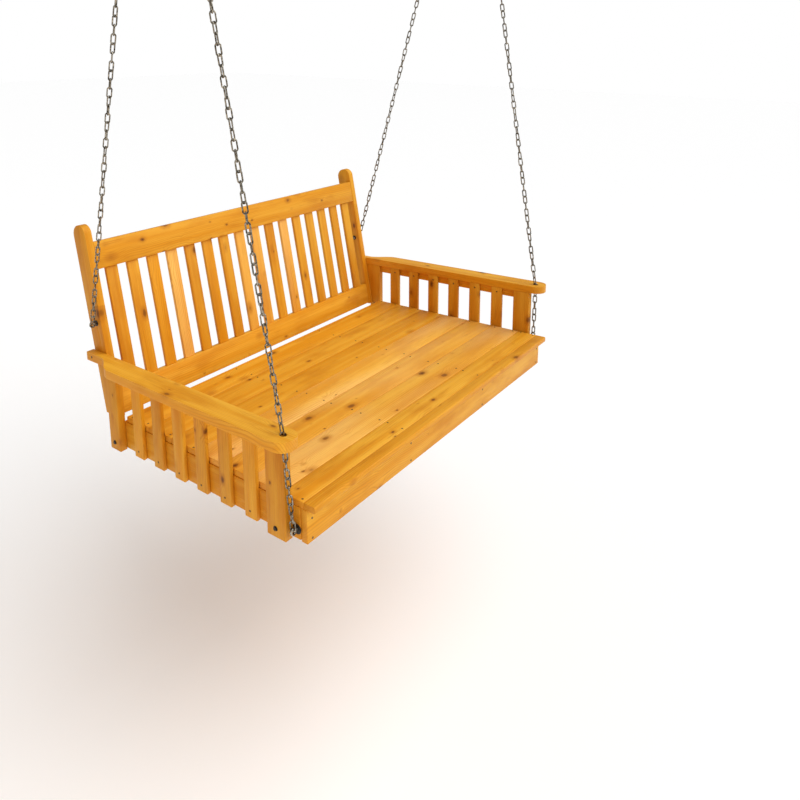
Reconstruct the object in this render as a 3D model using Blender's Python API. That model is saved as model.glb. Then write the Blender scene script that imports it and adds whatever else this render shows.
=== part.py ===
import bpy
import bmesh
import math
from mathutils import Matrix, Vector

# Porch swing bed hung on four chains. Metres, +Z up, origin on the ceiling between the two hangers.
for oldObject in list(bpy.data.objects):
    bpy.data.objects.remove(oldObject)

# Fit between pieces
gap = 0.0003                    # clearance left between two boards that touch
boltPlay = 0.0005               # clearance round a bolt in its hole

# Seat frame: X across, Y from the front arm posts to the back, Z up from the deck's top
halfWidth = 0.963               # centre line to the side rails' outer faces
deckThick = 0.025
railThick = 0.036
sideRailBottom = -0.1435
apronFront = -0.061
apronThick = 0.026
apronBottom = -0.151
boardHalf = halfWidth - 0.004   # half the length of every deck board and of the apron
nosingFront = -0.095
nosingRear = -0.047
nosingRound = 0.005
frontBoardRear = 0.048          # rear edge of the narrow board behind the nosing
deckPitch = 0.144               # front edge to front edge of the wide deck boards
wideBoards = 6
deckRear = frontBoardRear + wideBoards * deckPitch
sideRailRear = deckRear + 0.018
joistOffset = halfWidth / 3     # centre line to each middle joist
joistBottom = -0.115

# Back
backLean = math.radians(10.0)
backFoot = deckRear + 0.0592    # Y of the back's front plane at the deck's top
postDepth = 0.084
backPostTop = 0.817             # along the lean, up to the rounded top
backPostBottom = -0.022         # height of the level cut at the foot
bottomRailLow = -0.015
bottomRailHigh = 0.103
topRailLow = 0.618
topRailHigh = 0.736
slatWide = 0.060
slatThick = 0.016
slatCount = 16
slatEndSpace = 0.045            # between each post and the slat beside it

# Arms
armBottom = 0.218
armThick = 0.037
armFront = -0.061
armRear = deckRear + 0.198
armWide = 0.103
tailWide = 0.0365
neckFront = deckRear - 0.040    # where the arm starts to narrow
neckRear = deckRear + 0.096
armRound = armWide * 0.46
armPostBottom = -0.1495
armPostWide = 0.084
rearPostFront = deckRear + 0.005
rearPostFoot = 0.068            # width of the rear arm post at its foot
rearPostHead = 0.106
armSlatWide = 0.0585
armSlatThick = 0.018
armSlatFirst = 0.148            # front edge of the first slat
armSlatCount = 6
armSlatPitch = (rearPostFront - 0.077 - armSlatWide - armSlatFirst) / (armSlatCount - 1)
armSlatBottom = -0.1455
cleatBottom = 0.175
cleatThick = 0.018

# Chains and hangers
chainRadius = 0.007
hookAcross = halfWidth + 0.071  # centre line to each hanger
hookAhead = deckRear * 0.432    # Y of the hanger pin in the seat frame
hookAbove = 2.800               # height of the hanger pin over the deck
seatTilt = math.radians(3.7547)   # the seat hangs with its front edge raised
pinDrop = 0.038                 # pin below the ceiling
pinRadius = 0.006
ringOuter = 0.013
ringInner = 0.007
ringThick = 0.008
ringOffset = 0.009              # each chain's top ring from the middle of the pin
frontEyeReach = 0.020           # eye centre out from the board's face
rearEyeReach = 0.020
eyeRadius = 0.011
eyeWire = 0.0045
boltRadius = 0.005
washerThick = 0.002
frontBoltAhead = -0.020
frontBoltHeight = -0.1065
rearBoltUp = 0.392              # along the lean
rearBoltBack = 0.034            # behind the back's front plane
frontWasherRadius = 0.0185
rearWasherRadius = 0.0125
armHoleAcross = halfWidth + 0.047
armHoleAhead = -0.014
armHoleRadius = 0.013

swing = bpy.data.collections.new("porch_swing")
bpy.context.scene.collection.children.link(swing)
cutters = bpy.data.collections.new("cutters")
bpy.context.scene.collection.children.link(cutters)

seatToWorld = (Matrix.Translation((0.0, 0.0, -pinDrop))
               @ Matrix.Rotation(-seatTilt, 4, 'X')
               @ Matrix.Translation((0.0, -hookAhead, -hookAbove)))


def makeMaterial(name, colour, roughness, metallic):
    material = bpy.data.materials.new(name)
    material.use_nodes = True
    shader = material.node_tree.nodes["Principled BSDF"]
    shader.inputs["Base Color"].default_value = colour
    shader.inputs["Roughness"].default_value = roughness
    shader.inputs["Metallic"].default_value = metallic
    return material


cedar = makeMaterial("stained_cedar", (0.72, 0.36, 0.09, 1.0), 0.5, 0.0)
steel = makeMaterial("zinc_steel", (0.42, 0.41, 0.38, 1.0), 0.4, 1.0)


def addObject(name, mesh, material, place, home):
    thing = bpy.data.objects.new(name, mesh)
    thing.matrix_world = place
    if not mesh.materials:
        mesh.materials.append(material)
    home.objects.link(thing)
    if home == cutters:
        thing.hide_render = True
        thing.display_type = 'WIRE'
    return thing


def boxMesh(name, low, high):
    work = bmesh.new()
    bmesh.ops.create_cube(work, size=1.0)
    size = [high[axis] - low[axis] for axis in range(3)]
    middle = [(high[axis] + low[axis]) / 2 for axis in range(3)]
    bmesh.ops.scale(work, vec=size, verts=work.verts)
    bmesh.ops.translate(work, vec=middle, verts=work.verts)
    mesh = bpy.data.meshes.new(name)
    work.to_mesh(mesh)
    work.free()
    return mesh


def board(name, low, high, home=None):
    return addObject(name, boxMesh(name, low, high), cedar, seatToWorld, home or swing)


def rodMesh(name, radius, start, end, sides):
    # A round bar from start to end
    start = Vector(start)
    end = Vector(end)
    work = bmesh.new()
    bmesh.ops.create_cone(work, cap_ends=True, segments=sides, radius1=radius, radius2=radius,
                          depth=(end - start).length)
    turn = (end - start).to_track_quat('Z', 'Y').to_matrix().to_4x4()
    bmesh.ops.transform(work, matrix=Matrix.Translation((start + end) / 2) @ turn, verts=work.verts)
    mesh = bpy.data.meshes.new(name)
    work.to_mesh(mesh)
    work.free()
    return mesh


def plateMesh(name, outline, thick, place):
    # A flat outline given thickness, then laid into place
    curve = bpy.data.curves.new(name, 'CURVE')
    curve.dimensions = '2D'
    curve.fill_mode = 'BOTH'
    curve.extrude = thick / 2
    spline = curve.splines.new('POLY')
    spline.points.add(len(outline) - 1)
    for point, (across, up) in zip(spline.points, outline):
        point.co = (across, up, 0.0, 1.0)
    spline.use_cyclic_u = True
    holder = bpy.data.objects.new(name + "_outline", curve)
    bpy.context.scene.collection.objects.link(holder)
    bpy.context.view_layer.update()
    mesh = bpy.data.meshes.new_from_object(holder)
    bpy.data.objects.remove(holder)
    work = bmesh.new()
    work.from_mesh(mesh)
    bmesh.ops.remove_doubles(work, verts=work.verts, dist=0.00001)
    bmesh.ops.transform(work, matrix=place, verts=work.verts)
    bmesh.ops.recalc_face_normals(work, faces=work.faces)
    work.to_mesh(mesh)
    work.free()
    mesh.name = name
    return mesh


def arc(centre, radius, first, last, steps):
    points = []
    for step in range(steps + 1):
        angle = math.radians(first + (last - first) * step / steps)
        points.append((centre[0] + radius * math.cos(angle), centre[1] + radius * math.sin(angle)))
    return points


def combine(thing, tool, operation):
    modifier = thing.modifiers.new(tool.name, 'BOOLEAN')
    modifier.operation = operation
    modifier.solver = 'EXACT'
    modifier.object = tool
    return modifier


# Laying an outline drawn in (Y, Z) so that its thickness runs along X
alongX = Matrix(((0, 0, 1, 0), (1, 0, 0, 0), (0, 1, 0, 0), (0, 0, 0, 1)))


def backPoint(across, up, behind):
    # A point of the leaning back: up along the lean, behind its front plane
    return Vector((across,
                   backFoot + up * math.sin(backLean) + behind * math.cos(backLean),
                   up * math.cos(backLean) - behind * math.sin(backLean)))


leanToSeat = (Matrix.Translation((0.0, backFoot, 0.0)) @ Matrix.Rotation(-backLean, 4, 'X'))
sides = (("left", -1), ("right", 1))


def spanX(side, inner, outer):
    # The two X limits of a piece on one side, lower one first
    return sorted((side * inner, side * outer))


# Side rails with a bolt hole near the front
apronRear = apronFront + apronThick
for label, side in sides:
    near, far = spanX(side, halfWidth - railThick, halfWidth)
    rail = board("side_rail_" + label, (near, apronRear + gap, sideRailBottom),
                 (far, sideRailRear, -deckThick - gap))
    hole = rodMesh("side_rail_hole_" + label, boltRadius + boltPlay,
                   (near - 0.01, frontBoltAhead, frontBoltHeight),
                   (far + 0.01, frontBoltAhead, frontBoltHeight), 24)
    combine(rail, addObject(hole.name, hole, cedar, seatToWorld, cutters), 'DIFFERENCE')

# Apron across the front, rear rail and middle joists under the deck
board("front_apron", (-boardHalf, apronFront, apronBottom), (boardHalf, apronRear, -deckThick - gap))
innerHalf = halfWidth - railThick - gap
board("rear_rail", (-innerHalf, deckRear - railThick, sideRailBottom),
      (innerHalf, deckRear, -deckThick - gap))
for label, side in sides:
    near, far = spanX(side, joistOffset - railThick / 2, joistOffset + railThick / 2)
    board("middle_joist_" + label, (near, apronRear + gap, joistBottom),
          (far, deckRear - railThick - gap, -deckThick - gap))

# Deck: rounded nosing, one narrow board and the wide boards behind it
nosing = [(nosingRear - gap, -deckThick), (nosingRear - gap, 0.0)]
nosing += arc((nosingFront + nosingRound, -nosingRound), nosingRound, 90, 180, 5)
nosing += arc((nosingFront + nosingRound, nosingRound - deckThick), nosingRound, 180, 270, 5)
nosingMesh = plateMesh("deck_nosing", nosing, 2 * boardHalf, alongX)
addObject("deck_nosing", nosingMesh, cedar, seatToWorld, swing)
deckEdges = [nosingRear, frontBoardRear]
for number in range(wideBoards):
    deckEdges.append(frontBoardRear + (number + 1) * deckPitch)
for number in range(len(deckEdges) - 1):
    board("deck_board_%d" % (number + 1), (-boardHalf, deckEdges[number] + gap, -deckThick),
          (boardHalf, deckEdges[number + 1] - gap, 0.0))

# Back posts: level foot, rounded top, bolt hole for the rear chain
postMiddle = halfWidth - railThick / 2
footFront = backPostBottom / math.cos(backLean)
footRear = (backPostBottom + postDepth * math.sin(backLean)) / math.cos(backLean)
postRound = postDepth / 2
postOutline = [(0.0, footFront), (postDepth, footRear)]
postOutline += arc((postRound, backPostTop - postRound), postRound, 0, 180, 16)
for label, side in sides:
    name = "back_post_" + label
    place = Matrix.Translation((side * postMiddle, 0.0, 0.0)) @ leanToSeat @ alongX
    post = addObject(name, plateMesh(name, postOutline, railThick - 2 * gap, place), cedar,
                     seatToWorld, swing)
    near, far = spanX(side, halfWidth - railThick - 0.01, halfWidth + 0.01)
    hole = rodMesh("back_post_hole_" + label, boltRadius + boltPlay,
                   backPoint(near, rearBoltUp, rearBoltBack),
                   backPoint(far, rearBoltUp, rearBoltBack), 24)
    combine(post, addObject(hole.name, hole, cedar, seatToWorld, cutters), 'DIFFERENCE')

# Back rails between the posts and the upright slats between the rails
backHalf = halfWidth - railThick - gap
leanPlace = seatToWorld @ leanToSeat
for name, low, high in (("back_rail_bottom", bottomRailLow, bottomRailHigh),
                        ("back_rail_top", topRailLow, topRailHigh)):
    mesh = boxMesh(name, (-backHalf, 0.0, low), (backHalf, railThick, high))
    addObject(name, mesh, cedar, leanPlace, swing)
slatHalf = slatWide / 2
slatPitch = 2 * (backHalf - slatEndSpace - slatHalf) / (slatCount - 1)
slatFront = (railThick - slatThick) / 2
slatMesh = boxMesh("back_slat", (-slatHalf, slatFront, bottomRailHigh + gap),
                   (slatHalf, slatFront + slatThick, topRailLow - gap))
for number in range(slatCount):
    across = (number - (slatCount - 1) / 2) * slatPitch
    place = leanPlace @ Matrix.Translation((across, 0.0, 0.0))
    addObject("back_slat_%02d" % (number + 1), slatMesh, cedar, place, swing)

# Arm posts and slats stand against the outer faces of the side rails
armInner = halfWidth + gap
rearPostRear = rearPostFront + rearPostFoot
rearPost = [(rearPostFront, armPostBottom), (rearPostRear, armPostBottom), (rearPostRear, 0.030),
            (rearPostRear + 0.007, 0.078), (rearPostRear + 0.019, 0.135),
            (rearPostFront + rearPostHead, armBottom - gap), (rearPostFront, armBottom - gap)]
for label, side in sides:
    near, far = spanX(side, armInner, armInner + railThick)
    board("arm_post_front_" + label, (near, 0.0, armPostBottom), (far, armPostWide, armBottom - gap))
    name = "arm_post_rear_" + label
    place = Matrix.Translation(((near + far) / 2, 0.0, 0.0)) @ alongX
    addObject(name, plateMesh(name, rearPost, railThick, place), cedar, seatToWorld, swing)
    near, far = spanX(side, armInner, armInner + armSlatThick)
    for number in range(armSlatCount):
        front = armSlatFirst + number * armSlatPitch
        board("arm_slat_%s_%d" % (label, number + 1), (near, front, armSlatBottom),
              (far, front + armSlatWide, armBottom - gap))

# Arms: wide board with a narrow tail, the cleat under it and the chain hole
armOuter = armInner + armWide
tailOuter = armInner + tailWide
armOutline = [(armInner, armRear)]
armOutline += arc((armInner + armRound, armFront + armRound), armRound, 180, 270, 8)
armOutline += arc((armOuter - armRound, armFront + armRound), armRound, 270, 360, 8)
for step in range(13):
    share = step / 12
    ease = share * share * (3 - 2 * share)
    armOutline.append((armOuter + (tailOuter - armOuter) * ease,
                       neckFront + (neckRear - neckFront) * share))
armOutline.append((tailOuter, armRear))
for label, side in sides:
    name = "arm_" + label
    outline = [(side * across, ahead) for across, ahead in armOutline]
    place = Matrix.Translation((0.0, 0.0, armBottom + armThick / 2))
    arm = addObject(name, plateMesh(name, outline, armThick, place), cedar, seatToWorld, swing)
    near, far = spanX(side, armInner + armSlatThick + gap, armInner + armSlatThick + gap + cleatThick)
    cleat = board("cleat_" + label, (near, armPostWide + gap, cleatBottom),
                  (far, rearPostFront - gap, armBottom + 0.003), cutters)
    combine(arm, cleat, 'UNION')
    hole = rodMesh("arm_hole_" + label, armHoleRadius,
                   (side * armHoleAcross, armHoleAhead, armBottom - 0.02),
                   (side * armHoleAcross, armHoleAhead, armBottom + armThick + 0.02), 32)
    combine(arm, addObject(hole.name, hole, cedar, seatToWorld, cutters), 'DIFFERENCE')


def ringMesh(name, centre, thick, place):
    # A flat ring whose bore runs along X
    outside = rodMesh(name, ringOuter, (-thick / 2, 0, 0), (thick / 2, 0, 0), 32)
    outside.transform(place @ Matrix.Translation(centre))
    return outside


def torusMesh(name, centre):
    # The eye of a bolt, standing across the bolt
    work = bmesh.new()
    profile = bmesh.ops.create_circle(work, segments=10, radius=eyeWire)
    bmesh.ops.translate(work, vec=(eyeRadius, 0.0, 0.0), verts=profile["verts"])
    bmesh.ops.rotate(work, matrix=Matrix.Rotation(math.radians(90), 3, 'X'), verts=work.verts,
                     cent=(eyeRadius, 0.0, 0.0))
    bmesh.ops.spin(work, geom=work.verts[:] + work.edges[:], axis=(0, 0, 1), cent=(0, 0, 0),
                   angle=math.radians(360), steps=24, use_merge=True, use_duplicate=False)
    bmesh.ops.remove_doubles(work, verts=work.verts, dist=0.00001)
    bmesh.ops.recalc_face_normals(work, faces=work.faces)
    bmesh.ops.rotate(work, matrix=Matrix.Rotation(math.radians(90), 3, 'X'), verts=work.verts)
    bmesh.ops.translate(work, vec=centre, verts=work.verts)
    mesh = bpy.data.meshes.new(name)
    work.to_mesh(mesh)
    work.free()
    return mesh


def makeChain(name, side, path, face, washerRadius, innerRadius, topShift):
    # path: eye centre first, then any bend; the top ring on the hanger pin comes last
    hook = Vector((side * (hookAcross + topShift), hookAhead, hookAbove))
    points = [path[0] + Vector((0, 0, eyeRadius))] + path[1:]
    last = hook - points[-1]
    points.append(hook - last.normalized() * (ringInner + ringOuter) / 2)
    curve = bpy.data.curves.new(name, 'CURVE')
    curve.dimensions = '3D'
    curve.bevel_depth = chainRadius
    curve.bevel_resolution = 2
    curve.use_fill_caps = True
    spline = curve.splines.new('POLY')
    spline.points.add(len(points) - 1)
    for point, place in zip(spline.points, points):
        point.co = (place.x, place.y, place.z, 1.0)
    holder = bpy.data.objects.new(name + "_line", curve)
    bpy.context.scene.collection.objects.link(holder)
    bpy.context.view_layer.update()
    mesh = bpy.data.meshes.new_from_object(holder)
    bpy.data.objects.remove(holder)
    work = bmesh.new()
    work.from_mesh(mesh)
    bmesh.ops.remove_doubles(work, verts=work.verts, dist=0.00001)
    bmesh.ops.recalc_face_normals(work, faces=work.faces)
    work.to_mesh(mesh)
    work.free()
    chain = addObject(name, mesh, steel, seatToWorld, swing)
    eye = path[0]
    inward = Vector((-side, 0, 0))
    faceOut = Vector((side * face, eye.y, eye.z))
    faceIn = Vector((side * (face - railThick), eye.y, eye.z))
    ring = rodMesh(name + "_ring", ringOuter, hook - Vector((ringThick / 2, 0, 0)),
                   hook + Vector((ringThick / 2, 0, 0)), 32)
    bore = rodMesh(name + "_bore", ringInner, hook - Vector((0.02, 0, 0)),
                   hook + Vector((0.02, 0, 0)), 32)
    shank = rodMesh(name + "_shank", boltRadius, eye + inward * (eyeRadius + 0.001),
                    faceIn + inward * 0.014, 24)
    outerWasher = rodMesh(name + "_washer", washerRadius, faceOut - inward * gap,
                          faceOut - inward * (gap + washerThick), 32)
    innerWasher = rodMesh(name + "_inner_washer", innerRadius, faceIn + inward * gap,
                          faceIn + inward * (gap + washerThick), 32)
    nut = rodMesh(name + "_nut", 0.0085, faceIn + inward * (gap + washerThick / 2),
                  faceIn + inward * (gap + washerThick + 0.007), 6)
    for mesh in (torusMesh(name + "_eye", eye), ring, shank, outerWasher, innerWasher, nut):
        combine(chain, addObject(mesh.name, mesh, steel, seatToWorld, cutters), 'UNION')
    combine(chain, addObject(bore.name, bore, steel, seatToWorld, cutters), 'DIFFERENCE')


# Front chains run from the side rails through the arms, rear chains from the back posts
for label, side in sides:
    front = Vector((side * (halfWidth + frontEyeReach), frontBoltAhead, frontBoltHeight))
    bend = Vector((side * armHoleAcross, armHoleAhead, armBottom + armThick / 2))
    makeChain("chain_front_" + label, side, [front, bend], halfWidth, frontWasherRadius, 0.012,
              ringOffset)
    rear = backPoint(side * (halfWidth + rearEyeReach), rearBoltUp, rearBoltBack)
    makeChain("chain_rear_" + label, side, [rear], halfWidth, rearWasherRadius, rearWasherRadius,
              -ringOffset)

# Ceiling hangers: a bent strap with two lugs and the pin between them
strapWide = 0.040
lugOuter = 0.025
lugInner = 0.019
lugDrop = 0.052
strapThick = 0.006
strapHalf = 0.050
strapEdge = 0.005               # the strap thins a little towards its ends
strapCrown = 0.007
strap = [(-strapHalf, 0.0), (-strapHalf, -strapEdge), (-lugOuter, -strapThick), (-lugOuter, -lugDrop),
         (-lugInner, -lugDrop), (-lugInner, -strapCrown), (lugInner, -strapCrown),
         (lugInner, -lugDrop), (lugOuter, -lugDrop), (lugOuter, -strapThick),
         (strapHalf, -strapEdge), (strapHalf, 0.0)]
for label, side in sides:
    name = "ceiling_hanger_" + label
    place = Matrix.Translation((side * hookAcross, 0.0, 0.0)) @ Matrix.Rotation(math.radians(90), 4, 'X')
    hanger = addObject(name, plateMesh(name, strap, strapWide, place), steel, Matrix.Identity(4), swing)
    pin = rodMesh("pin_" + label, pinRadius, (side * hookAcross - lugOuter - 0.004, 0.0, -pinDrop),
                  (side * hookAcross + lugOuter + 0.004, 0.0, -pinDrop), 32)
    combine(hanger, addObject(pin.name, pin, steel, Matrix.Identity(4), cutters), 'UNION')

bpy.context.view_layer.update()
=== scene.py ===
import math
import random
import bmesh
import bpy
from mathutils import Matrix, Vector


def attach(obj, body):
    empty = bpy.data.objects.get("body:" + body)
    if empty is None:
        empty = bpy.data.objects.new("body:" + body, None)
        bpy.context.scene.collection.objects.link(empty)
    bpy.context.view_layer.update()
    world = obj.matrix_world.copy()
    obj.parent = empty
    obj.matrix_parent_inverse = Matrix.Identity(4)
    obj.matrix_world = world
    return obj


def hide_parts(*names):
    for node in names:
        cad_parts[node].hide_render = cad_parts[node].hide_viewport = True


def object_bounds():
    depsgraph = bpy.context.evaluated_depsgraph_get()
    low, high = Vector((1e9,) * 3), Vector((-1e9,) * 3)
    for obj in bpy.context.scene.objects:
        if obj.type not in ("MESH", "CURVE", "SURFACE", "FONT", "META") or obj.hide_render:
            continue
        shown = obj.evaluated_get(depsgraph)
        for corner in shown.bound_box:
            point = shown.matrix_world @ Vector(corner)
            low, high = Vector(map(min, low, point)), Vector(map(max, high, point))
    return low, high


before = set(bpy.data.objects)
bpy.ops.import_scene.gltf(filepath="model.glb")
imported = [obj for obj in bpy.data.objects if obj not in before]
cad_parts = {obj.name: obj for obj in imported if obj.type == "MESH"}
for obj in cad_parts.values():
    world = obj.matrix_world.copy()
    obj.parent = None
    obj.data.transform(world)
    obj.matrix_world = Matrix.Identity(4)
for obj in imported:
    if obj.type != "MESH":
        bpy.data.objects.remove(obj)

cadLow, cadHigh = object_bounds()
print("frame loaded:", len(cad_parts), "nodes")

# The seat's place under the hanger pins: how far it leans back, and where the pins are over its deck
hang = {"tilt": 3.7547, "ahead": 0.393984, "above": 2.8, "pinDrop": 0.038}
back = {"lean": 10.0, "foot": 0.9712}  # degrees, and where the back's front plane meets the deck's top
side = {"half": 0.963, "railThick": 0.036, "postThick": 0.036, "slatThick": 0.018, "gap": 0.0003}

seatSpace = (Matrix.Translation((0, 0, -hang["pinDrop"]))
             @ Matrix.Rotation(-math.radians(hang["tilt"]), 4, "X")
             @ Matrix.Translation((0, -hang["ahead"], -hang["above"])))  # seat frame to world
leanSpace = (seatSpace @ Matrix.Translation((0, back["foot"], 0))
             @ Matrix.Rotation(-math.radians(back["lean"]), 4, "X"))  # along the leaning back


def newMaterial(name):
    material = bpy.data.materials.new(name)
    material.use_nodes = True
    tree = material.node_tree
    return material, tree, tree.nodes["Principled BSDF"]


def addNode(tree, kind, **values):
    made = tree.nodes.new(kind)
    for key, value in values.items():
        if key in made.inputs:
            made.inputs[key].default_value = value
        else:
            setattr(made, key, value)
    return made


def calc(tree, operation, first, second=None, clamp=False):
    made = tree.nodes.new("ShaderNodeMath")
    made.operation = operation
    made.use_clamp = clamp
    for socket, value in zip(made.inputs, (first, second)):
        if isinstance(value, bpy.types.NodeSocket):
            tree.links.new(value, socket)
        elif value is not None:
            socket.default_value = value
    return made.outputs[0]


def remap(tree, value, low, high, toLow=0.0, toHigh=1.0):
    made = addNode(tree, "ShaderNodeMapRange", interpolation_type="SMOOTHSTEP")
    tree.links.new(value, made.inputs["Value"])
    for key, number in (("From Min", low), ("From Max", high), ("To Min", toLow), ("To Max", toHigh)):
        made.inputs[key].default_value = number
    return made.outputs["Result"]


def mixColour(tree, factor, first, second, blend="MIX"):
    made = tree.nodes.new("ShaderNodeMix")
    made.data_type = "RGBA"
    made.blend_type = blend
    for socket, value in ((made.inputs[0], factor), (made.inputs[6], first), (made.inputs[7], second)):
        if isinstance(value, bpy.types.NodeSocket):
            tree.links.new(value, socket)
        else:
            socket.default_value = value
    return made.outputs[2]


def stretched(tree, vector, scale):
    made = addNode(tree, "ShaderNodeMapping")
    tree.links.new(vector, made.inputs["Vector"])
    made.inputs["Scale"].default_value = scale
    return made.outputs["Vector"]


def noise(tree, vector, scale, detail=2.0, rough=0.5, distortion=0.0):
    made = addNode(tree, "ShaderNodeTexNoise", Detail=detail, Roughness=rough, Distortion=distortion)
    made.inputs["Scale"].default_value = 1.0
    tree.links.new(stretched(tree, vector, scale), made.inputs["Vector"])
    return made.outputs["Fac"]


cedarLook = {
    "pale": (0.86, 0.440, 0.036, 1), "honey": (0.76, 0.315, 0.008, 1), "deep": (0.62, 0.225, 0.004, 1),
    "late": (0.48, 0.150, 0.003, 1), "knot": (0.200, 0.062, 0.003, 1), "heart": (0.090, 0.030, 0.003, 1),
    "halo": (0.44, 0.130, 0.003, 1), "end": (0.66, 0.265, 0.020, 1), "peach": (0.93, 0.56, 0.19, 1),
    "ringGap": 0.0085, "roughness": 0.46,
    "bigKnots": ((6.0, 10.5, 6.0), 0.72, 0.070, 0.145, 0.0),  # cells a metre, chance, sizes, shift
    "smallKnots": ((10.0, 18.0, 12.0), 0.34, 0.055, 0.100, 5.3),
}


def knotField(tree, grain, cellsPerMetre, chance, smallest, largest, shift):
    # How far each point is from its nearest knot, in knot sizes, and whether that knot is there
    cells = addNode(tree, "ShaderNodeTexVoronoi", Randomness=0.9, Scale=1.0)
    mapped = addNode(tree, "ShaderNodeMapping")
    tree.links.new(grain, mapped.inputs["Vector"])
    mapped.inputs["Scale"].default_value = cellsPerMetre
    mapped.inputs["Location"].default_value = (shift, shift * 0.7, shift * 0.3)
    tree.links.new(mapped.outputs["Vector"], cells.inputs["Vector"])
    pick = addNode(tree, "ShaderNodeSeparateColor")
    tree.links.new(cells.outputs["Color"], pick.inputs["Color"])
    present = remap(tree, pick.outputs["Red"], 1 - chance, 1 - chance + 0.02)
    size = remap(tree, pick.outputs["Green"], 0.0, 1.0, smallest, largest)
    return calc(tree, "DIVIDE", cells.outputs["Distance"], size), present


def around(tree, knots, near, far, strength=1.0):
    # Full within near knot sizes of a knot's middle, gone at far
    distance, present = knots
    return calc(tree, "MULTIPLY", remap(tree, distance, near, far, strength, 0.0), present)


def makeCedar():
    look = cedarLook
    material, tree, shader = newMaterial("stainedCedar")
    grain = addNode(tree, "ShaderNodeAttribute", attribute_name="grain").outputs["Vector"]
    # Each board's tone: a random tone plus the painted shade and painted sheen set per row in boardRows
    toneAndShade = addNode(tree, "ShaderNodeAttribute", attribute_name="boardToneAndShade").outputs["Fac"]
    endFace = addNode(tree, "ShaderNodeAttribute", attribute_name="endFace").outputs["Fac"]
    wobble = addNode(tree, "ShaderNodeTexNoise", Scale=60.0, Detail=2.0)
    tree.links.new(grain, wobble.inputs["Vector"])
    centred = addNode(tree, "ShaderNodeVectorMath", operation="MULTIPLY_ADD")
    tree.links.new(wobble.outputs["Color"], centred.inputs[0])
    centred.inputs[1].default_value = (0.010, 0.006, 0.006)
    tree.links.new(grain, centred.inputs[2])
    rough = centred.outputs["Vector"]
    big = knotField(tree, rough, *look["bigKnots"])
    small = knotField(tree, rough, *look["smallKnots"])
    core = calc(tree, "ADD", around(tree, big, 0.55, 1.15), around(tree, small, 0.5, 1.2), True)
    heart = around(tree, big, 0.15, 0.5)
    halo = calc(tree, "ADD", around(tree, big, 0.9, 2.4), around(tree, small, 0.9, 2.4, 0.7), True)
    swirl = calc(tree, "ADD", around(tree, big, 0.2, 5.0), around(tree, small, 0.2, 4.0, 0.5))
    parts = addNode(tree, "ShaderNodeSeparateXYZ")  # growth rings: waves across the board, bent by the knots
    tree.links.new(grain, parts.inputs["Vector"])
    drift = noise(tree, grain, (0.8, 4.0, 4.0), 2.0)
    waver = noise(tree, grain, (5.0, 26.0, 26.0), 2.0)
    across = calc(tree, "ADD", parts.outputs["Y"], calc(tree, "MULTIPLY", drift, 0.13))
    across = calc(tree, "ADD", across, calc(tree, "MULTIPLY", waver, 0.006))
    across = calc(tree, "ADD", across, calc(tree, "MULTIPLY", swirl, 0.020))
    across = calc(tree, "ADD", across, calc(tree, "MULTIPLY", parts.outputs["Z"], 0.6))
    wave = calc(tree, "SINE", calc(tree, "MULTIPLY", across, 2 * math.pi / look["ringGap"]))
    ring = remap(tree, wave, 0.0, 1.0)
    streak = noise(tree, grain, (0.6, 22.0, 22.0), 3.0, 0.6)
    blotch = noise(tree, grain, (2.6, 9.0, 9.0), 3.0, 0.6)
    fibre = noise(tree, grain, (10.0, 420.0, 420.0), 3.0, 0.7)
    dash = noise(tree, grain, (7.0, 240.0, 240.0), 2.0, 0.5)
    colour = mixColour(tree, remap(tree, streak, 0.34, 0.66), look["honey"], look["pale"])
    colour = mixColour(tree, remap(tree, blotch, 0.46, 0.70, 0.0, 0.65), colour, look["deep"])
    palest = remap(tree, toneAndShade, 0.905, 0.955)
    bleached = calc(tree, "MULTIPLY", palest, remap(tree, drift, 0.35, 0.62, 0.10, 0.50))
    colour = mixColour(tree, bleached, colour, look["peach"])
    ringPatches = noise(tree, grain, (1.4, 8.0, 8.0), 2.0)
    lines = calc(tree, "MULTIPLY", ring, remap(tree, ringPatches, 0.38, 0.66, 0.04, 0.34))
    colour = mixColour(tree, lines, colour, look["late"])
    colour = mixColour(tree, remap(tree, dash, 0.60, 0.72, 0.0, 0.38), colour, look["late"])
    colour = mixColour(tree, calc(tree, "MULTIPLY", halo, 0.50), colour, look["halo"])
    colour = mixColour(tree, calc(tree, "MULTIPLY", core, 0.80), colour, look["knot"])
    colour = mixColour(tree, calc(tree, "MULTIPLY", heart, 0.75), colour, look["heart"])
    colour = mixColour(tree, calc(tree, "MULTIPLY", endFace, 0.50), colour, look["end"])
    shade = addNode(tree, "ShaderNodeCombineColor")
    bright = calc(tree, "ADD", toneAndShade, calc(tree, "MULTIPLY", fibre, 0.14))
    for channel, power in (("Red", 1.0), ("Green", 1.45), ("Blue", 2.6)):  # darker boards are redder, both the randomly darker ones and those darkened as painted shade
        tree.links.new(calc(tree, "POWER", bright, power), shade.inputs[channel])
    colour = mixColour(tree, 1.0, colour, shade.outputs["Color"], "MULTIPLY")
    tree.links.new(colour, shader.inputs["Base Color"])
    gloss = calc(tree, "ADD", calc(tree, "MULTIPLY", fibre, 0.22), look["roughness"] - 0.11)
    gloss = calc(tree, "ADD", gloss, calc(tree, "MULTIPLY", blotch, 0.10))
    tree.links.new(gloss, shader.inputs["Roughness"])
    shader.inputs["Specular IOR Level"].default_value = 0.22
    height = calc(tree, "ADD", calc(tree, "MULTIPLY", fibre, 0.55), calc(tree, "MULTIPLY", ring, 0.22))
    height = calc(tree, "SUBTRACT", height, calc(tree, "MULTIPLY", core, 0.5))
    bump = addNode(tree, "ShaderNodeBump", Strength=0.28, Distance=0.0012)
    tree.links.new(height, bump.inputs["Height"])
    tree.links.new(bump.outputs["Normal"], shader.inputs["Normal"])
    return material


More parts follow.
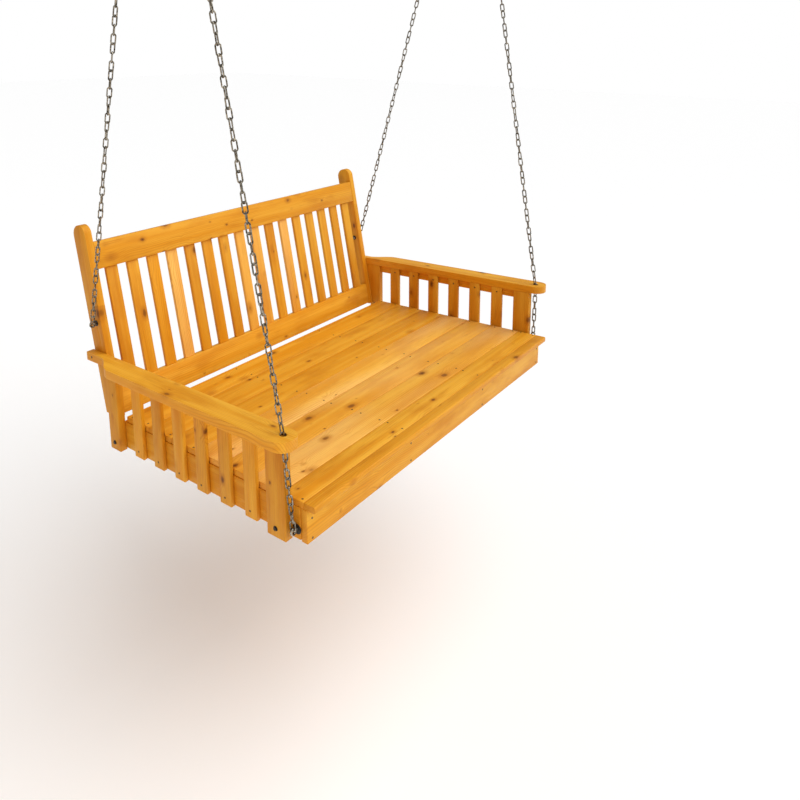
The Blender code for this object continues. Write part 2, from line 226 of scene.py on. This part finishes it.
def makeMetal(name, dark, light, roughness, metallic, grainSize):
    material, tree, shader = newMaterial(name)
    place = addNode(tree, "ShaderNodeTexCoord").outputs["Object"]
    blotch = noise(tree, place, (grainSize, grainSize, grainSize), 4.0, 0.65)
    speck = noise(tree, place, (grainSize * 6,) * 3, 2.0, 0.6)
    mixed = calc(tree, "ADD", calc(tree, "MULTIPLY", blotch, 0.7), calc(tree, "MULTIPLY", speck, 0.3))
    tree.links.new(mixColour(tree, remap(tree, mixed, 0.38, 0.62), dark, light), shader.inputs["Base Color"])
    gloss = remap(tree, mixed, 0.3, 0.7, roughness + 0.14, roughness - 0.08)
    tree.links.new(gloss, shader.inputs["Roughness"])
    shader.inputs["Metallic"].default_value = metallic
    bump = addNode(tree, "ShaderNodeBump", Strength=0.25, Distance=0.0006)
    tree.links.new(mixed, bump.inputs["Height"])
    tree.links.new(bump.outputs["Normal"], shader.inputs["Normal"])
    return material


cedar = makeCedar()
zinc = makeMetal("zincSteel", (0.040, 0.033, 0.024, 1), (0.42, 0.385, 0.315, 1), 0.28, 0.95, 95.0)
blackSteel = makeMetal("blackSteel", (0.018, 0.017, 0.016, 1), (0.055, 0.052, 0.048, 1), 0.42, 0.6, 220.0)
print("finishes ready")


def finishPiece(work, name, material, body="swing"):
    mesh = bpy.data.meshes.new(name)
    work.to_mesh(mesh)
    work.free()
    mesh.materials.append(material)
    piece = bpy.data.objects.new(name, mesh)
    bpy.context.scene.collection.objects.link(piece)
    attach(piece, body)
    return piece


toneSource = random.Random(27)


def makeBoard(node, space, along, rounding, steps, toneAndShade):
    work = bmesh.new()
    work.from_mesh(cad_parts[node].data)
    bmesh.ops.remove_doubles(work, verts=work.verts, dist=0.00002)
    bmesh.ops.dissolve_limit(work, angle_limit=math.radians(1.5), verts=work.verts, edges=work.edges)
    sharp = [edge for edge in work.edges
             if len(edge.link_faces) == 2 and edge.is_convex and edge.calc_face_angle() > math.radians(35)]
    bmesh.ops.bevel(work, geom=sharp, offset=rounding, offset_type="OFFSET", segments=steps, profile=0.5,
                    affect="EDGES", clamp_overlap=True, material=-1)
    toBoard = space.inverted()
    spots = [toBoard @ vert.co for vert in work.verts]
    low = [min(spot[axis] for spot in spots) for axis in range(3)]
    high = [max(spot[axis] for spot in spots) for axis in range(3)]
    others = sorted((axis for axis in range(3) if axis != along), key=lambda axis: low[axis] - high[axis])
    seed = toneSource.random() * 40
    flip = toneSource.choice((-1, 1))
    # The row's tone offset paints shade on the side pieces and the left arm, and sheen on the deck
    toneAndShadeValue = 0.88 + toneAndShade + toneSource.uniform(-0.085, 0.085)
    turn = toBoard.to_3x3()
    work.normal_update()
    endFlags = [1.0 if abs((turn @ face.normal)[along]) > 0.8 else 0.0 for face in work.faces]
    for face in work.faces:
        face.smooth = len(face.verts) != 4 or face.calc_area() < 0.0006
    piece = finishPiece(work, node + "Board", cedar)
    mesh = piece.data
    middle = [(low[axis] + high[axis]) / 2 for axis in range(3)]
    grainValues, toneAndShadeValues = [], []
    for spot in spots:
        grainValues += [flip * (spot[along] - middle[along]) + seed,
                        spot[others[0]] - middle[others[0]] + seed * 0.37,
                        spot[others[1]] - middle[others[1]] + seed * 0.11]
        toneAndShadeValues.append(toneAndShadeValue)
    mesh.attributes.new("grain", "FLOAT_VECTOR", "POINT")
    mesh.attributes.new("boardToneAndShade", "FLOAT", "POINT")
    mesh.attributes.new("endFace", "FLOAT", "FACE")
    mesh.attributes["grain"].data.foreach_set("vector", grainValues)
    mesh.attributes["boardToneAndShade"].data.foreach_set("value", toneAndShadeValues)
    mesh.attributes["endFace"].data.foreach_set("value", endFlags)
    mesh.set_sharp_from_angle(angle=math.radians(32))
    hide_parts(node)
    return piece


boardRows = {  # node name start: space, grain axis, edge rounding, tone offset that paints light: the deck a little lighter as painted sheen, the side pieces, the rails under the seat and the left arm darker than the right as painted shade
    "deck_": (seatSpace, 0, 0.0024, 0.02),
    "front_apron": (seatSpace, 0, 0.0020, 0.0),
    "rear_rail": (seatSpace, 0, 0.0020, -0.04),
    "middle_joist": (seatSpace, 1, 0.0020, -0.04),
    "side_rail": (seatSpace, 1, 0.0020, -0.06),
    "back_post": (leanSpace, 2, 0.0032, 0.0),
    "back_rail": (leanSpace, 0, 0.0026, 0.0),
    "back_slat": (leanSpace, 2, 0.0018, 0.01),
    "arm_post": (seatSpace, 2, 0.0028, -0.10),
    "arm_slat": (seatSpace, 2, 0.0022, -0.07),
    "arm_left": (seatSpace, 1, 0.0085, -0.05),
    "arm_right": (seatSpace, 1, 0.0085, 0.0),
}
boardCount = 0
for node in sorted(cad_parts):
    for start, (space, along, rounding, toneAndShade) in boardRows.items():
        if node.startswith(start):
            makeBoard(node, space, along, rounding, 4 if rounding > 0.004 else 2, toneAndShade)
            boardCount += 1
            break
print("boards:", boardCount)


def placeTool(space, at, facing):
    # A matrix that stands a piece made along +Z on a spot, looking out along facing
    turn = Vector(facing).to_track_quat("Z", "Y").to_matrix().to_4x4()
    return space @ Matrix.Translation(at) @ turn


screw = {"radius": 0.0042, "proud": 0.0006, "depth": 0.0012, "sides": 10}


def addScrew(work, place, radius, spin):
    head = bmesh.ops.create_cone(work, cap_ends=True, segments=screw["sides"], radius1=radius,
                                 radius2=radius * 0.86, depth=screw["proud"] * 2)
    top = max((face for vert in head["verts"] for face in vert.link_faces),
              key=lambda face: face.calc_center_median().z)
    inner = bmesh.ops.inset_region(work, faces=[top], thickness=radius * 0.52, depth=0.0)
    pushed = bmesh.ops.extrude_discrete_faces(work, faces=[top])["faces"]
    bmesh.ops.translate(work, vec=(0, 0, -screw["depth"]), verts=pushed[0].verts)
    verts = set(head["verts"])
    for face in inner["faces"] + pushed:
        verts.update(face.verts)
    bmesh.ops.transform(work, matrix=place @ Matrix.Rotation(spin, 4, "Z"), verts=list(verts))


def screwRow(name, spots, radius=None):
    work = bmesh.new()
    for number, (space, at, facing) in enumerate(spots):
        addScrew(work, placeTool(space, at, facing), radius or screw["radius"], number * 0.7)
    bmesh.ops.recalc_face_normals(work, faces=work.faces)
    finishPiece(work, name, blackSteel)


deck = {"joint": -0.047, "narrow": 0.048, "pitch": 0.144, "wide": 6, "inset": 0.023,
        "joists": (-0.945, -0.322, 0.322, 0.945)}
joints = [deck["joint"], deck["narrow"]]
joints += [deck["narrow"] + deck["pitch"] * (number + 1) for number in range(deck["wide"])]
spots = []
for joistNumber, across in enumerate(deck["joists"]):
    for number in range(len(joints) - 1):
        near = 0.014 if number == 0 else deck["inset"]
        for ahead in (joints[number] + near, joints[number + 1] - near):
            jitter = random.Random(number * 11 + joistNumber + int(ahead * 1000))
            at = (across + jitter.uniform(-0.006, 0.006), ahead + jitter.uniform(-0.004, 0.004), 0)
            spots.append((seatSpace, at, (0, 0, 1)))
screwRow("deckScrews", spots)

apron = {"front": -0.061, "across": (-0.932, -0.304, 0.318, 0.932), "up": (-0.064, -0.138)}
screwRow("apronScrews", [(seatSpace, (across, apron["front"], up), (0, -1, 0))
                         for across in apron["across"] for up in apron["up"]], 0.0046)

armSlat = {"first": 0.148, "pitch": 0.1267, "wide": 0.0585, "count": 6, "low": -0.118, "high": 0.193}
spots = []
for sign in (-1, 1):
    inner = side["half"] + side["gap"]
    outer = inner + side["slatThick"]
    for number in range(armSlat["count"]):
        middle = armSlat["first"] + number * armSlat["pitch"] + armSlat["wide"] / 2
        spots.append((seatSpace, (sign * outer, middle + 0.004, armSlat["low"]), (sign, 0, 0)))
        spots.append((seatSpace, (sign * inner, middle - 0.003, armSlat["high"]), (-sign, 0, 0)))
screwRow("armSlatScrews", spots, 0.0044)

armTail = {"wide": 0.0365, "ahead": 1.075, "up": 0.237, "screw": 0.0055}
tailFace = side["half"] + side["gap"] + armTail["wide"]
screwRow("armTailScrews", [(seatSpace, (sign * tailFace, armTail["ahead"], armTail["up"]), (sign, 0, 0))
                           for sign in (-1, 1)], armTail["screw"])

postBolt = {"radius": 0.0074, "high": 0.0040, "ahead": (0.045, 0.953), "up": -0.1155}
work = bmesh.new()
for sign in (-1, 1):
    for ahead in postBolt["ahead"]:
        face = side["half"] + side["gap"] + side["postThick"]
        head = bmesh.ops.create_cone(work, cap_ends=True, segments=6, radius1=postBolt["radius"],
                                     radius2=postBolt["radius"] * 0.93, depth=postBolt["high"])
        collar = bmesh.ops.create_cone(work, cap_ends=True, segments=20, radius1=postBolt["radius"] * 1.25,
                                       radius2=postBolt["radius"] * 1.2, depth=0.0014)
        bmesh.ops.translate(work, vec=(0, 0, postBolt["high"] / 2 + 0.0012), verts=head["verts"])
        bmesh.ops.translate(work, vec=(0, 0, 0.0007), verts=collar["verts"])
        place = placeTool(seatSpace, (sign * face, ahead, postBolt["up"]), (sign, 0, 0))
        bmesh.ops.transform(work, matrix=place, verts=head["verts"] + collar["verts"])
finishPiece(work, "postBolts", blackSteel)
print("screws and bolts placed")


link = {"wire": 0.0029, "half": 0.0087, "straight": 0.0108, "pitch": 0.0326,
        "sides": 6, "turns": 12, "twist": 62, "sway": 8}


def linkMesh():
    # A ring of wire, drawn out into an oval along +Z
    work = bmesh.new()
    wire = bmesh.ops.create_circle(work, cap_ends=False, segments=link["sides"], radius=link["wire"])["verts"]
    bmesh.ops.translate(work, vec=(link["half"], 0, 0), verts=wire)
    bmesh.ops.rotate(work, matrix=Matrix.Rotation(math.radians(90), 3, "X"), verts=wire, cent=(0, 0, 0))
    bmesh.ops.rotate(work, matrix=Matrix.Rotation(math.radians(15), 3, "Z"), verts=wire, cent=(0, 0, 0))
    bmesh.ops.spin(work, geom=work.verts[:] + work.edges[:], cent=(0, 0, 0), axis=(0, 0, 1),
                   angle=math.radians(360), steps=link["turns"], use_merge=True, use_duplicate=False)
    for vert in work.verts:
        vert.co.y += link["straight"] if vert.co.y > 0 else -link["straight"]
    bmesh.ops.rotate(work, matrix=Matrix.Rotation(math.radians(90), 3, "X"), verts=work.verts, cent=(0, 0, 0))
    bmesh.ops.remove_doubles(work, verts=work.verts, dist=0.00001)
    bmesh.ops.recalc_face_normals(work, faces=work.faces)
    for face in work.faces:
        face.smooth = True
    mesh = bpy.data.meshes.new("oneLink")
    work.to_mesh(mesh)
    work.free()
    return mesh


oneLink = linkMesh()
chain = {"hookAcross": 1.034, "ringOffset": 0.009, "frontReach": 0.020, "rearReach": 0.020,
         "eyeRadius": 0.011, "eyeWire": 0.0045,
         "holeAcross": 1.010, "holeAhead": -0.014, "holeUp": 0.2365, "frontBolt": (-0.020, -0.1065),
         "rearBolt": (0.392, 0.034), "ringRadius": 0.0100, "ringWire": 0.0030, "lift": 0.004}


def pathPoint(points, distance):
    for first, second in zip(points, points[1:]):
        run = (second - first).length
        if distance <= run or second is points[-1]:
            return first + (second - first) * (distance / run), (second - first).normalized()
        distance -= run


def makeChain(name, node, points, sign, twistStart):
    total = sum((second - first).length for first, second in zip(points, points[1:]))
    count = int(total / link["pitch"])
    pitch = total / count
    work = bmesh.new()
    for number in range(count):
        middle, heading = pathPoint(points, (number + 0.5) * pitch)
        turn = heading.to_track_quat("Z", "Y").to_matrix().to_4x4()
        degrees = twistStart + sign * number * link["twist"] + link["sway"] * math.sin(number * 0.9)
        twist = Matrix.Rotation(math.radians(degrees), 4, "Z")
        stretch = Matrix.Diagonal((1, 1, pitch / link["pitch"], 1))
        fresh = bmesh.new()
        fresh.from_mesh(oneLink)
        fresh.transform(Matrix.Translation(middle) @ turn @ twist @ stretch)
        joined = bpy.data.meshes.new("fresh")
        fresh.to_mesh(joined)
        fresh.free()
        work.from_mesh(joined)
        bpy.data.meshes.remove(joined)
    work.transform(seatSpace)
    for face in work.faces:
        face.smooth = True
    piece = finishPiece(work, name, zinc)
    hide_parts(node)
    return piece


def addTorus(work, place, radius, wire, steps, sides):
    fresh = bmesh.new()
    ring = bmesh.ops.create_circle(fresh, cap_ends=False, segments=sides, radius=wire)
    stand = Matrix.Rotation(math.radians(90), 3, "X")
    bmesh.ops.rotate(fresh, matrix=stand, verts=ring["verts"], cent=(0, 0, 0))
    bmesh.ops.translate(fresh, vec=(radius, 0, 0), verts=ring["verts"])
    bmesh.ops.spin(fresh, geom=fresh.verts[:] + fresh.edges[:], cent=(0, 0, 0), axis=(0, 0, 1),
                   angle=math.radians(360), steps=steps, use_merge=True, use_duplicate=False)
    bmesh.ops.remove_doubles(fresh, verts=fresh.verts, dist=0.00001)
    bmesh.ops.recalc_face_normals(fresh, faces=fresh.faces)
    fresh.transform(place)
    joined = bpy.data.meshes.new("fresh")
    fresh.to_mesh(joined)
    fresh.free()
    work.from_mesh(joined)
    bpy.data.meshes.remove(joined)


def addRod(work, start, end, radius, sides, edge=0.0, narrow=1.0):
    start, end = Vector(start), Vector(end)
    fresh = bmesh.new()
    bmesh.ops.create_cone(fresh, cap_ends=True, segments=sides, radius1=radius, radius2=radius * narrow,
                          depth=(end - start).length)
    if edge:
        rims = [one for one in fresh.edges if abs(one.verts[0].co.z - one.verts[1].co.z) < 0.000001]
        bmesh.ops.bevel(fresh, geom=rims, offset=edge, offset_type="OFFSET", segments=2, profile=0.5,
                        affect="EDGES", clamp_overlap=True, material=-1)
    fresh.transform(Matrix.Translation((start + end) / 2)
                    @ (end - start).to_track_quat("Z", "Y").to_matrix().to_4x4())
    joined = bpy.data.meshes.new("fresh")
    fresh.to_mesh(joined)
    fresh.free()
    work.from_mesh(joined)
    bpy.data.meshes.remove(joined)


def backPoint(across, up, behind):
    lean = math.radians(back["lean"])
    return Vector((across, back["foot"] + up * math.sin(lean) + behind * math.cos(lean),
                   up * math.cos(lean) - behind * math.sin(lean)))


upright = Matrix.Rotation(math.radians(90), 4, "X")  # turns a flat ring to stand across its bolt
hardware = {"washerThick": 0.002, "frontWasher": 0.0185, "rearWasher": 0.0125, "innerWasher": 0.012,
            "boltRadius": 0.005, "boltPast": 0.0135, "nut": 0.0085, "nutThick": 0.007}


def makeEyeBolt(name, washerName, eye, sign, washer, innerWasher):
    inward = Vector((-sign, 0, 0))
    outer = Vector((sign * side["half"], eye.y, eye.z))
    inner = Vector((sign * (side["half"] - side["railThick"]), eye.y, eye.z))
    thick = hardware["washerThick"]
    work = bmesh.new()
    addTorus(work, Matrix.Translation(eye) @ upright, chain["eyeRadius"], chain["eyeWire"], 28, 10)
    neck = eye + inward * (chain["eyeRadius"] + 0.001)
    tip = inner + inward * hardware["boltPast"]
    addRod(work, neck, tip, hardware["boltRadius"], 20, 0.0008)
    addRod(work, eye + inward * (chain["eyeRadius"] - 0.002), eye + inward * (chain["eyeRadius"] + 0.003),
           chain["eyeWire"] * 1.35, 16, 0.001, 0.9)
    seat = side["gap"] + thick
    addRod(work, inner + inward * seat, inner + inward * (seat + hardware["nutThick"] - 0.0005),
           hardware["nut"], 6, 0.0008)
    work.transform(seatSpace)
    for face in work.faces:
        face.smooth = True
    bolt = finishPiece(work, name, zinc)
    bolt.data.set_sharp_from_angle(angle=math.radians(35))
    work = bmesh.new()
    touch = side["gap"] * 0.5
    addRod(work, outer - inward * touch, outer - inward * seat, washer, 36, 0.0005)
    addRod(work, inner + inward * touch, inner + inward * seat, innerWasher, 28, 0.0005)
    work.transform(seatSpace)
    finishPiece(work, washerName, blackSteel)


for label, sign in (("Left", -1), ("Right", 1)):
    hookFront = Vector((sign * (chain["hookAcross"] + chain["ringOffset"]), hang["ahead"], hang["above"]))
    hookRear = Vector((sign * (chain["hookAcross"] - chain["ringOffset"]), hang["ahead"], hang["above"]))
    frontEye = Vector((sign * (side["half"] + chain["frontReach"]), *chain["frontBolt"]))
    rearEye = backPoint(sign * (side["half"] + chain["rearReach"]), *chain["rearBolt"])
    hole = Vector((sign * chain["holeAcross"], chain["holeAhead"], chain["holeUp"]))
    drop = chain["ringRadius"] * 0.6
    frontTop = hookFront + (hole - hookFront).normalized() * drop
    rearTop = hookRear + (rearEye - hookRear).normalized() * drop
    low = label.lower()
    inEye = Vector((0, 0, chain["lift"]))
    makeChain("frontChain" + label, "chain_front_" + low, [frontEye + inEye, hole, frontTop], sign, 40)
    makeChain("rearChain" + label, "chain_rear_" + low, [rearEye + inEye, rearTop], sign, 10)
    makeEyeBolt("frontEyeBolt" + label, "frontWashers" + label, frontEye, sign,
                hardware["frontWasher"], hardware["innerWasher"])
    makeEyeBolt("rearEyeBolt" + label, "rearWashers" + label, rearEye, sign,
                hardware["rearWasher"], hardware["rearWasher"])
    work = bmesh.new()
    for hook in (hookFront, hookRear):
        addTorus(work, Matrix.Translation(hook) @ Matrix.Rotation(math.radians(90), 4, "Y"),
                 chain["ringRadius"], chain["ringWire"], 28, 10)
    work.transform(seatSpace)
    for face in work.faces:
        face.smooth = True
    finishPiece(work, "pinRings" + label, zinc)
print("chains and eye bolts made")


strap = {"boltAcross": 0.038, "boltUp": -0.0052, "boltHigh": 0.0036, "bolt": 0.0065,
         "lug": 0.025, "cap": 0.0088, "capThick": 0.0038}
for label, sign in (("left", -1), ("right", 1)):
    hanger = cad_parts["ceiling_hanger_" + label]
    hanger.data.materials.clear()
    hanger.data.materials.append(zinc)
    work = bmesh.new()
    for end in (-1, 1):
        at = Vector((sign * chain["hookAcross"] + end * strap["boltAcross"], 0, strap["boltUp"]))
        addRod(work, at - Vector((0, 0, strap["boltHigh"])), at, strap["bolt"], 6, 0.0006)
    for end in (-1, 1):
        at = Vector((sign * chain["hookAcross"] + end * strap["lug"], 0, -hang["pinDrop"]))
        addRod(work, at, at + Vector((end * strap["capThick"], 0, 0)), strap["cap"], 24, 0.0008)
    finishPiece(work, "hangerBolts" + label.capitalize(), blackSteel, "hangers")
print("hangers finished")


floorDrop = 1.10  # from the part's lowest point to the floor
floorMesh = bpy.data.meshes.new("floor")
work = bmesh.new()
bmesh.ops.create_grid(work, x_segments=1, y_segments=1, size=40)
bmesh.ops.translate(work, vec=(0, 0, cadLow.z - floorDrop), verts=work.verts)
work.to_mesh(floorMesh)
work.free()
floor = bpy.data.objects.new("floor", floorMesh)
bpy.context.scene.collection.objects.link(floor)
floorMaterial, _, floorShader = newMaterial("paleFloor")
floorShader.inputs["Base Color"].default_value = (0.97, 0.97, 0.97, 1)
floorShader.inputs["Roughness"].default_value = 0.8
floorShader.inputs["Specular IOR Level"].default_value = 0.1
floorMesh.materials.append(floorMaterial)

studio = {"seen": 1.0, "ambient": 0.34, "keySun": 2.7, "keySoftness": 75.0, "fill": 24, "fillSize": 3.5}
world = bpy.data.worlds.new("studio")
bpy.context.scene.world = world
world.use_nodes = True
worldTree = world.node_tree
backdrop = worldTree.nodes["Background"]
backdrop.inputs["Color"].default_value = (1.0, 1.0, 1.0, 1)
seen = addNode(worldTree, "ShaderNodeLightPath").outputs["Is Camera Ray"]
extra = calc(worldTree, "MULTIPLY", seen, studio["seen"] - studio["ambient"])
worldTree.links.new(calc(worldTree, "ADD", extra, studio["ambient"]), backdrop.inputs["Strength"])

seatMiddle = seatSpace @ Vector((0, 0.45, 0))
sunData = bpy.data.lights.new("keySun", "SUN")
sunData.energy = studio["keySun"]
sunData.angle = math.radians(studio["keySoftness"])
sun = bpy.data.objects.new("keySun", sunData)
sun.rotation_euler = Vector((-0.30, 0.62, -1.0)).to_track_quat("-Z", "Y").to_euler()
bpy.context.scene.collection.objects.link(sun)
fillData = bpy.data.lights.new("fillLamp", "AREA")
fillData.shape = "DISK"
fillData.size = studio["fillSize"]
fillData.energy = studio["fill"]
fillData.color = (1.0, 0.60, 0.22)  # warm, like light thrown back by wood
fill = bpy.data.objects.new("fillLamp", fillData)
fill.location = seatMiddle + Vector((-3.8, -1.3, 0.9))
fill.rotation_euler = (seatMiddle - fill.location).to_track_quat("-Z", "Y").to_euler()
bpy.context.scene.collection.objects.link(fill)
bpy.context.scene.view_settings.view_transform = "Standard"  # shows the finishes' own colours

view = {"eye": (-2.5985, -1.4299, 1.4095), "target": (0.0, 1.0562, 0.7061), "roll": -2.35,
        "sensor": 36, "lens": 32.21505, "shift": (0.1865, -0.2362125)}  # eye and target in the seat frame
eye, target = Vector(view["eye"]), Vector(view["target"])
ahead = (target - eye).normalized()
right = ahead.cross(Vector((0, 0, 1))).normalized()
up = right.cross(ahead)
turn = math.radians(view["roll"])
right, up = right * math.cos(turn) + up * math.sin(turn), up * math.cos(turn) - right * math.sin(turn)
pose = Matrix((right, up, -ahead)).transposed().to_4x4()
pose.translation = eye
cameraData = bpy.data.cameras.new("camera")
cameraData.sensor_width = view["sensor"]
cameraData.lens = view["lens"]
cameraData.shift_x, cameraData.shift_y = view["shift"]
cameraData.clip_end = 100
camera = bpy.data.objects.new("camera", cameraData)
camera.matrix_world = seatSpace @ pose
bpy.context.scene.collection.objects.link(camera)
bpy.context.scene.camera = camera
print("stage set")
